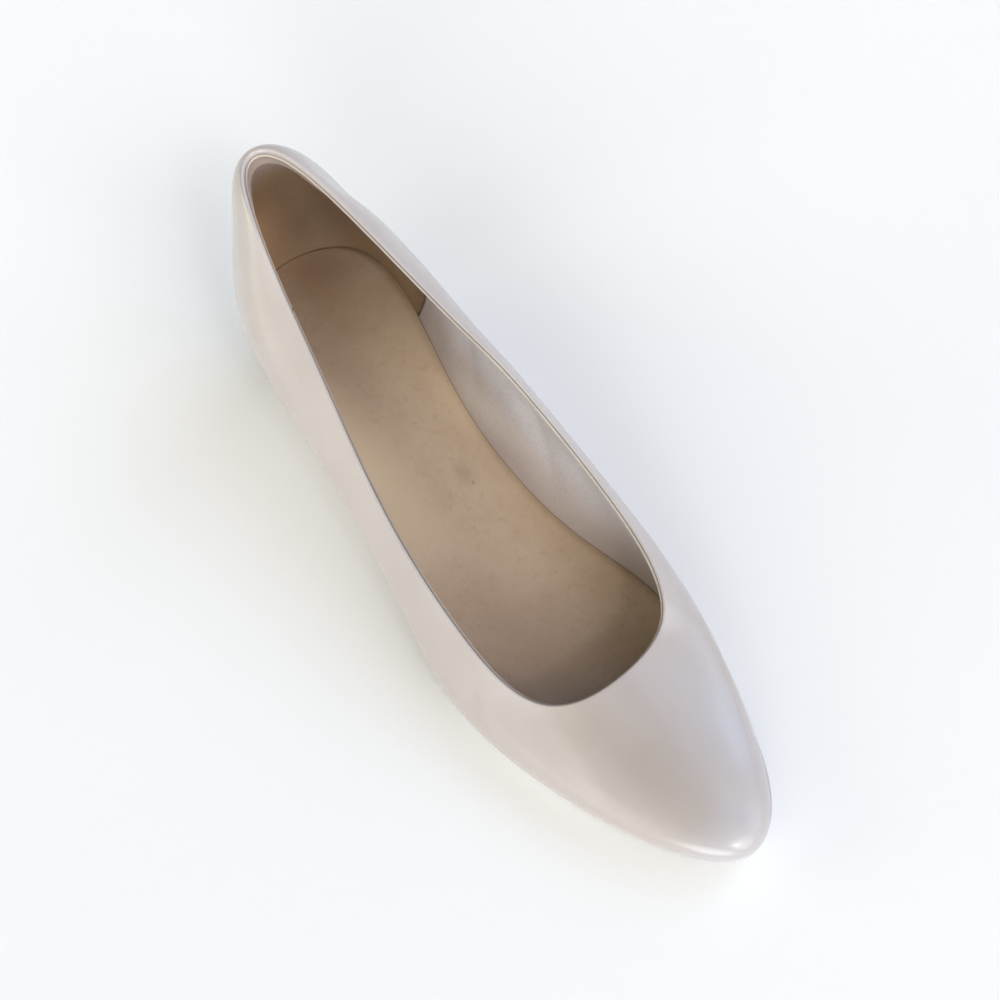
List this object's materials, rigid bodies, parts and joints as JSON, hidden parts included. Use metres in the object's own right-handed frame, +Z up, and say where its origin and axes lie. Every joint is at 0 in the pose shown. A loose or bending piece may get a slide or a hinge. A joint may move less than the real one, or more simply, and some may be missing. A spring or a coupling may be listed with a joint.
{
  "type": "mini wedge pump",
  "caption": "Women's slip-on pump with a hollow low-cut upper, almond toe, low covered wedge, thin outsole and cushioned insole, for the right foot.",
  "frame": {"origin": "on the floor, at the bottom centre of the shoe's bounding box", "axes": "+X from heel to toe, +Y towards the medial (big toe) side, +Z up"},
  "size_m": [0.2602, 0.08, 0.0815],
  "materials": {
    "upper": "satin",
    "insole": "matte",
    "wedge": "satin",
    "outsole": "matte"
  },
  "bodies": {
    "root": {"upper": "upper", "insole": "insole", "wedge": "wedge", "outsole": "outsole"}
  },
  "joints": []
}
